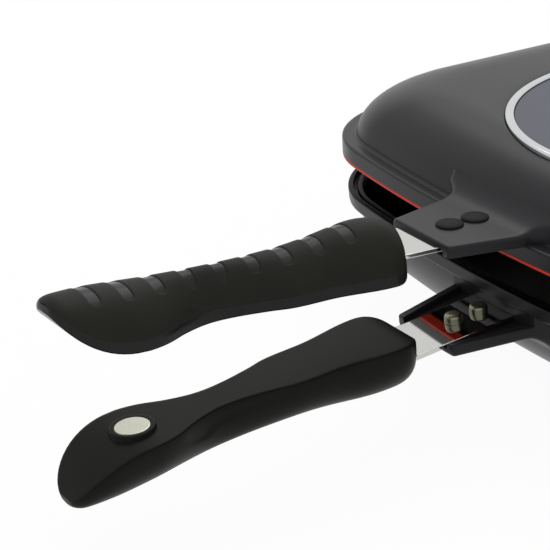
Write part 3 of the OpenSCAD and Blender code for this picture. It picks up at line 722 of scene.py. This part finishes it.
# %% [markdown]
# ## Tangs
# A tang is a flat steel bar that lies in the channel of the tongue and runs on into the
# handle, where it narrows. Its section is a thin rectangle with eased edges, lofted along
# its length. The real one is set into the handle at a slight slope, which decides what a
# mirror-bright face shows, so the bar here leans by the same small angle.

# %% Tangs
TANG_LOW, TANG_HIGH, TANG_EASE = 10.1, 12.1, 0.35
LEAN, LEAN_Y = 0.04, -137.0
WIDE, NARROW = 14.5, 10.0
TANG_STATIONS = [(-116.4, WIDE - 0.3, 0.25), (-116.55, WIDE - 0.1, 0.08), (-116.8, WIDE, 0),
                 (-130, WIDE, 0), (-145, WIDE, 0), (-160, WIDE, 0), (-169.5, WIDE, 0),
                 (-174.5, NARROW, 0), (-228.4, NARROW, 0)]


def on_tang(k, station):
    y, w, shrink = station
    low, high = TANG_LOW + shrink, TANG_HIGH - shrink
    shape = rounded([(-w, low, TANG_EASE), (w, low, TANG_EASE), (w, high, TANG_EASE),
                     (-w, high, TANG_EASE)], steps=3, closed=True)
    return (shape[k][0], y, shape[k][1] + LEAN * (LEAN_Y - y))


for half in ("lower", "upper"):
    bm = bmesh.new()
    loft(bm, 24, TANG_STATIONS, on_tang, cap_start=True, cap_end=True)
    make_piece(bm, half + "_tang_bar", half, [half + "_tang"], [polished_steel],
               crease=30)

# %% [markdown]
# ## Rivets and caps
# Each tang is held by two rivets. On the open side of the tongue the head shows as a
# short stud with a softly rounded end. Outside, a low domed cap of black nylon covers
# the tail. Both are spun, because both are turned or moulded round.

# %% Rivets and caps
RIVETS = (-17.3, -4.3)
CAP_R, CAP_EDGE, CAP_DOME, DOME_STEPS = 6.1, 15.0, 1.3, 10
stud = rounded([(0, 6.1, 0), (3.9, 6.3, 1.6), (4.1, 9.0, 0.3), (4.1, 10.1, 0), (2.5, 10.1, 0.1),
                (2.5, 15.4, 0.2), (0, 15.5, 0)], steps=5)
cap = rounded([(0, 15.55, 0), (2.6, 15.5, 0.1), (2.6, TONGUE_TOP, 0.1), (CAP_R, TONGUE_TOP, 0.1),
               (CAP_R, CAP_EDGE, 0)], steps=5)
rises = [math.pi / 2 * i / DOME_STEPS for i in range(1, DOME_STEPS + 1)]
cap += [(CAP_R * math.cos(a), CAP_EDGE + CAP_DOME * math.sin(a)) for a in rises]
for half in ("lower", "upper"):
    bm = bmesh.new()
    for y in RIVETS:
        spun(bm, stud, y - PAN_D / 2, steps=48)
    make_piece(bm, half + "_studs", half, [half + "_rivets"], [rivet_steel_with_painted_reflection])
    bm = bmesh.new()
    for y in RIVETS:
        spun(bm, cap, y - PAN_D / 2, steps=56)
    make_piece(bm, half + "_caps", half, [half + "_rivet_caps"], [cap_nylon])

# %% [markdown]
# ## The handles
# A handle is flat on the side that meets the other handle and round on the outside. It is
# widest at its two ends, slim at the waist, and its flat side rises to a blunt tip. A box
# under a subdivision surface could come close, but not to the millimetre. So small rules
# give its width, its depth, the rise of the flat side and the rounding of the ends at
# every place along it, counted from the pan's end. One more presses a shallow finger rest
# into both sides.
#
# The two handles share all of this and differ in four sizes: the height of the mould
# line, how early the near end starts to round off, where its nose is, and the height of
# the collar round the magnet.

# %% Sizes of the handles
Handle = namedtuple("Handle", "mould near nose collar")
HANDLES = {"lower": Handle(mould=1.8, near=10.0, nose=-2.6, collar=1.5),
           "upper": Handle(mould=5.2, near=22.0, nose=0.6, collar=3.8)}
HANDLE_L, NEAR_END, BULB_U = 162.5, 11.5, 128.5
DEPTH, MID, TIP_MID, RAKE, TIP_ROUND, ROUND_POWER = 24.5, 12.25, 20.0, 4.0, 6.0, 2.2
WIDTHS = [(11.5, 19.5), (42.5, 15.5), (49.5, 15.4), (89.5, 10.0), (128.5, 20.0)]
DEPTHS = [(13.5, 24.5), (59.5, 20.4), (112.5, 21.4), (147.5, 23.3)]
LIFT, LIFT_RUN, LIFT_POWER = 18.5, 38.5, 2.5
# For each near end: the share of the size that is left at its very tip, and its squareness.
SIDE_END, OUTER_END, FLAT_END, BULB_POWER = (0.05, 2.4), (0.35, 2.2), (0.45, 2.7), 2.4
DENT_FROM, DENT_TO, DENT_RUN, DENT_IN, DENT_SOFT = 59, 115, 7, 0.85, 1.3
DENT_TOPS = [(59, 2.5), (66, 5.9), (80, 6.6), (94, 7.6), (102, 11.0), (108, 9.0), (115, 2.5)]
print("handle", HANDLE_L, "x", 2 * WIDTHS[-1][1], "x", DEPTH, "mm")


# %% Rules for a handle
def ease(keys, u):
    if u <= keys[0][0]:
        return keys[0][1]
    for (a, low), (b, high) in zip(keys, keys[1:]):
        if u <= b:
            return low + (high - low) * (1 - math.cos(math.pi * (u - a) / (b - a))) / 2
    return keys[-1][1]


def rounding(t, power):
    return max(1 - max(t, 0.0) ** power, 0.0) ** (1 / power)


def end_share(u, length, handle, least, power):
    if u >= length:
        return 1.0
    return least + (1 - least) * rounding((length - u) / (length - handle.nose), power)


def past_bulb(u):
    return (u - BULB_U) / (HANDLE_L - BULB_U)


def lift_at(u):
    return LIFT * max((u - HANDLE_L + LIFT_RUN) / LIFT_RUN, 0.0) ** LIFT_POWER


def middle_at(u):
    return MID + (TIP_MID - MID) * lift_at(u) / LIFT


def half_width(u, skin, handle):
    if u > BULB_U:
        return (ease(WIDTHS, u) - skin) * rounding(past_bulb(u), BULB_POWER)
    return (ease(WIDTHS, u) - skin) * end_share(u, NEAR_END, handle, *SIDE_END)


def dent(u, x, z, wide):
    if abs(x) < 0.5 * wide or not DENT_FROM < u < DENT_TO:
        return 0.0
    t = max(0.0, min(1.0, (ease(DENT_TOPS, u) - z) / DENT_SOFT))
    ends = min(1.0, (u - DENT_FROM) / DENT_RUN, (DENT_TO - u) / DENT_RUN)
    return DENT_IN * ends * t * t * (3 - 2 * t)


def place_section(u, x, z, skin, handle):
    x -= math.copysign(dent(u, x, z - lift_at(u), half_width(u, skin, handle)), x)
    middle = middle_at(u)
    if z > middle:
        share = min(end_share(u, handle.near, handle, *OUTER_END),
                    rounding((u - HANDLE_L + TIP_ROUND) / TIP_ROUND, ROUND_POWER))
    else:
        share = end_share(u, NEAR_END, handle, *FLAT_END)
    z = middle + (z - middle) * share
    along = skin + u * (HANDLE_L - 2 * skin) / HANDLE_L
    rake = RAKE / DEPTH * max(past_bulb(u), 0.0) ** 2
    return Vector((x, -along + rake * (z - MID), z))


print("waist", round(2 * half_width(89.5, 0, HANDLES["lower"]), 1), "mm wide")

# %% [markdown]
# The mould line cuts the round section in two. Above it lies the grip or the sleeve,
# below it the inner shell, each a closed loft of its own. The shell is drawn in by a hair
# there, so that the line shows as a fine dark groove.

# %% Sections either side of the mould line
EDGE_H, MOULD_DROP, STEP = 1.2, 0.2, 3.0
NEAR_SHARES = (0.002, 0.012, 0.035, 0.07, 0.12, 0.18, 0.26, 0.35, 0.45, 0.56, 0.68, 0.84, 1.0)
TIP_SHARES = (0.08, 0.16, 0.24, 0.32, 0.4, 0.48, 0.56, 0.63, 0.7, 0.76, 0.82, 0.87, 0.91, 0.94,
              0.965, 0.98, 0.988)


def heights_at(u, skin):
    lift, depth = lift_at(u), ease(DEPTHS, u) - skin
    return lift, min(EDGE_H, (depth - lift) / 3), depth


def mould_angle(u, skin, handle):
    lift, edge, depth = heights_at(u, skin)
    height, middle = lift + handle.mould * (1 - MOULD_DROP * lift / LIFT), middle_at(u)
    share = end_share(u, NEAR_END, handle, *FLAT_END) if height < middle else 1.0
    level = middle + (height - middle) / share
    return math.asin(max(0.0, min(1.0, (level - lift - edge) / (depth - lift - edge))))


def arc_point(u, angle, skin, handle):
    lift, edge, depth = heights_at(u, skin)
    return place_section(u, half_width(u, skin, handle) * math.cos(angle),
                         lift + edge + (depth - lift - edge) * math.sin(angle), skin, handle)


def along_handle(handle, extra=()):
    places = [handle.nose + (NEAR_END - handle.nose) * t for t in NEAR_SHARES]
    places += [NEAR_END + STEP * k for k in range(1, round((BULB_U - NEAR_END) / STEP))]
    places += [BULB_U + (HANDLE_L - BULB_U) * t for t in TIP_SHARES]
    return sorted({round(u, 3) for u in places + list(extra)})


def onto_handle(bm):
    bmesh.ops.transform(bm, matrix=HANDLE_PLACE, verts=bm.verts)


print("stations along a handle", len(along_handle(HANDLES["lower"])))

# %% [markdown]
# ## Shells
# The inner shell carries the flat face that meets the other handle. A narrow groove runs
# round the edge of that face, which draws the thin dark line seen on the real one. Near
# the tip a round collar stands on it for the magnet. The section goes down one side from
# the mould line, round the groove to the flat face, up the other side and back across.

# %% Shell of a handle
ARC = 5
EDGE = ((0.95, 0.0), (0.8, 0.08), (0.62, 0.5), (0.42, 0.55), (0.26, 0.28), (0.08, 0.45),
        (0.0, 0.75), (0.0, 2.2), (0.0, 6.0))
ACROSS_TOP = (-0.7, -0.35, 0.35, 0.7)
SIDE = ARC + len(EDGE)
HAIR, SLIMMEST = 0.12, 8.0
MAGNET_Y = -127.5


def shell(bm, handle):
    def where(k, u):
        start = mould_angle(u, 0, handle)
        if k >= 2 * SIDE:
            p = arc_point(u, start, 0, handle)
            return Vector((abs(p.x) * ACROSS_TOP[k - 2 * SIDE], p.y, p.z))
        side, j = (1, k) if k < SIDE else (-1, 2 * SIDE - 1 - k)
        if j < ARC:
            p = arc_point(u, start * (1 - j / (ARC - 1)), 0, handle)
            return Vector((side * max(abs(p.x) - (HAIR if j == 0 else 0), 0), p.y, p.z))
        height, draw = EDGE[j - ARC]
        wide = half_width(u, 0, handle)
        x = max(wide - draw, wide * (1 - draw / SLIMMEST))
        return place_section(u, side * x, lift_at(u) + height, 0, handle)

    loft(bm, 2 * SIDE + len(ACROSS_TOP), along_handle(handle), where, cap_start=True, cap_end=True)
    top = -handle.collar
    collar = rounded([(7.55, 0.3, 0), (7.55, top, 0.15), (9.5, top, 0.6), (10.1, 1.6, 0)])
    spun(bm, collar + collar[:1], MAGNET_Y, steps=72)


for half, material in (("lower", satin_phenolic), ("upper", core_phenolic)):
    bm = bmesh.new()
    shell(bm, HANDLES[half])
    onto_handle(bm)
    make_piece(bm, half + "_shell", half, [half + "_handle_shell"], [material],
               crease=32)

# %% [markdown]
# ## Grip and core
# The lower grip is the plain round back of the handle. The upper core is the same shape,
# with a thin skin taken off all over to make room for the soft sleeve. Both are closed
# lofts whose flat side lies on the mould line.

# %% Back of a handle
UNDER, CORE_SKIN = 6, 0.55


def back_part(bm, handle, skin=0.0, across=80, surface=None, extra=(), cap=True):
    def where(k, u):
        start = mould_angle(u, skin, handle)
        if k <= across:
            angle = start + (math.pi - 2 * start) * k / across
            p = arc_point(u, angle, skin, handle)
            return surface(u, angle, p) if surface else p
        p = arc_point(u, start, skin, handle)
        return Vector((-p.x * (1 - 2 * (k - across) / UNDER), p.y, p.z))

    loft(bm, across + UNDER, along_handle(handle, extra), where, cap_start=True, cap_end=cap)


bm = bmesh.new()
back_part(bm, HANDLES["lower"])
onto_handle(bm)
make_piece(bm, "lower_grip", "lower", ["lower_handle_grip"], [satin_phenolic],
           crease=32)
bm = bmesh.new()
back_part(bm, HANDLES["upper"], CORE_SKIN)
onto_handle(bm)
make_piece(bm, "upper_core", "upper", ["upper_handle_core"], [core_phenolic],
           crease=32)

# %% [markdown]
# ## The slotted sleeve
# The sleeve is soft rubber over the core, with nine slots across its back. Cutting holes
# would leave raw edges, so the surface is pressed in instead: a smooth rule says how deep
# each point goes, and round the slots the rubber rolls over softly. Where it goes nearly
# all the way, the faces are taken away, and the core shows. So are the faces that close
# the flat side, because the sleeve is a sheet. A Solidify modifier then gives it its
# thickness.

# %% How the slots press in
SLOT_N, SLOT_START, SLOT_PITCH, SLOT_W, ROLL = 9, 23.6, 14.6, 5.6, 1.0
SLOT_REACH, REACH_SHARE, PRESS, OPEN_SHARE = 4.0, 0.33, 0.9, 0.85
NUDGE_U, NUDGE_ANGLE = 0.3, 0.02
# Extra lines of points over each edge of a slot, in millimetres from that edge.
SLOT_LINES = (-0.6, -0.35, -0.15, 0.05, 0.2, 0.32, 0.42, 0.5, 0.8, 1.5, 2.4)


def slot_share(u, x):
    first = SLOT_START + SLOT_W / 2
    nearest = min(range(SLOT_N), key=lambda i: abs(u - first - i * SLOT_PITCH))
    middle = first + nearest * SLOT_PITCH
    reach = SLOT_REACH + ease(WIDTHS, middle) * REACH_SHARE - SLOT_W / 2
    gap = math.hypot(max(abs(x) - reach, 0), u - middle) - SLOT_W / 2
    t = max(0.0, min(1.0, 0.5 - gap / ROLL))
    return 1 - math.sqrt(1 - t * t)


def pressed(u, angle, p):
    deep = PRESS * slot_share(u, p.x)
    if deep <= 0:
        return p

    def near(du, da):
        return arc_point(u + du, angle + da, 0, HANDLES["upper"])

    out = (near(NUDGE_U, 0) - near(-NUDGE_U, 0)).cross(near(0, NUDGE_ANGLE) - near(0, -NUDGE_ANGLE))
    out.normalize()
    return p - out * (deep if out.z > 0 else -deep)


slot_edges = [SLOT_START + i * SLOT_PITCH + side * SLOT_W + flip * d
              for i in range(SLOT_N) for side, flip in ((0, 1), (1, -1)) for d in SLOT_LINES]
print("extra lines for the slots", len(slot_edges))

# %% Sleeve
ACROSS, SLEEVE_MM = 110, 0.5
bm = bmesh.new()
back_part(bm, HANDLES["upper"], across=ACROSS, surface=pressed, extra=slot_edges, cap=False)
spot = bm.verts.layers.int["spot"]
sides = [face for face in bm.faces if len(face.verts) == 4]
gone = [face for face in sides
        if all(v[spot] >= ACROSS or v[spot] == 0 for v in face.verts)
        or all(slot_share(-v.co.y, v.co.x) > OPEN_SHARE for v in face.verts)]
bmesh.ops.delete(bm, geom=gone, context="FACES")
onto_handle(bm)
sleeve = make_piece(bm, "soft_sleeve", "upper", ["upper_handle_sleeve"],
                    [soft_rubber], crease=60)
wall = sleeve.modifiers.new("wall", "SOLIDIFY")
wall.thickness, wall.offset = SLEEVE_MM * MM, -1.0
print("faces taken away", len(gone))

# %% [markdown]
# ## Magnets
# Each handle holds a round magnet in its collar, so that the pan stays shut. A magnet is
# a plated disc with eased edges, a hair lower than the collar round it.

# %% Magnets
MAGNET_R, MAGNET_H, SUNK = 7.5, 2.45, 0.05
for half, handle in HANDLES.items():
    low = SUNK - handle.collar
    section = rounded([(0, low + MAGNET_H, 0), (MAGNET_R, low + MAGNET_H, 0.2),
                       (MAGNET_R, low, 0.5), (0, low, 0)])
    bm = bmesh.new()
    spun(bm, section, MAGNET_Y, steps=72)
    onto_handle(bm)
    make_piece(bm, half + "_magnet_disc", half, [half + "_magnet"], [nickel_plate],
               crease=30)

# %% [markdown]
# ## The hinge pin
# The pin, its clip and its washers are already right as packed, so they only get their
# steel.

# %% Steel for the hinge
for node in ("hinge_pin", "hinge_clip", "hinge_washers"):
    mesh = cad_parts[node].data
    mesh.materials.clear()
    mesh.materials.append(plain_steel)
print("hinge dressed")

# %% [markdown]
# ## Finish
# Last, the view layer is brought up to date.

# %% Finish
bpy.context.view_layer.update()
